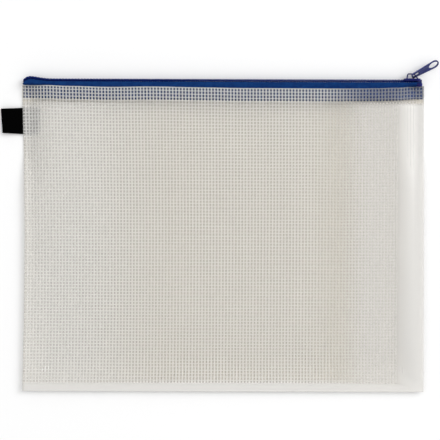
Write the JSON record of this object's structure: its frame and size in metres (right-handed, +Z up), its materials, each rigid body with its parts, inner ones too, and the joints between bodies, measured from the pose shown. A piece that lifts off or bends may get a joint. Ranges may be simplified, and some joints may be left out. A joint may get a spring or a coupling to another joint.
{
  "type": "document wallet",
  "caption": "Flat zip document wallet of mesh-reinforced clear plastic, with a coil zip along the mouth, a sliding puller with a swinging tab and a ribbon tab in the side weld.",
  "frame": {"origin": "centre of the back panel's underside, where the wallet lies on a surface", "axes": "+X along the zip towards its closed end, +Y from the bottom weld towards the zip, +Z up out of the front panel"},
  "size_m": [0.3652, 0.277, 0.0088],
  "materials": {
    "mesh_film": "clear warm-grey film with a white square scrim inside, satin",
    "zip_tape": "woven, navy blue",
    "zip_coil": "satin, navy blue",
    "core_cord": "twisted, navy blue",
    "stitching": "sewing thread, navy blue",
    "slider_enamel": "stoved enamel, navy blue, semi-gloss",
    "pull_enamel": "stoved enamel, navy blue, semi-gloss",
    "ribbon": "woven ribbon, black"
  },
  "bodies": {
    "wallet": {"back_panel": "mesh_film", "front_panel": "mesh_film", "front_zip_tape": "zip_tape", "back_zip_tape": "zip_tape", "front_zip_coil": "zip_coil", "back_zip_coil": "zip_coil", "front_core_cord": "core_cord", "back_core_cord": "core_cord", "front_coil_stitching": "stitching", "back_coil_stitching": "stitching", "side_tab": "ribbon"},
    "slider": {"zip_slider": "slider_enamel"},
    "pull": {"pull_tab": "pull_enamel"}
  },
  "joints": [
    {"name": "slider_travel", "type": "slide", "parent": "wallet", "child": "slider", "axis": [-1, 0, 0], "range_m": [0, 0.2988], "deforming": ["front_zip_coil", "back_zip_coil"]},
    {"name": "pull_swing", "type": "hinge", "parent": "slider", "child": "pull", "pos_m": [0.1574, 0.13713, 0.0044], "axis": [0, 0, 1], "range_deg": [-20, 136]}
  ]
}
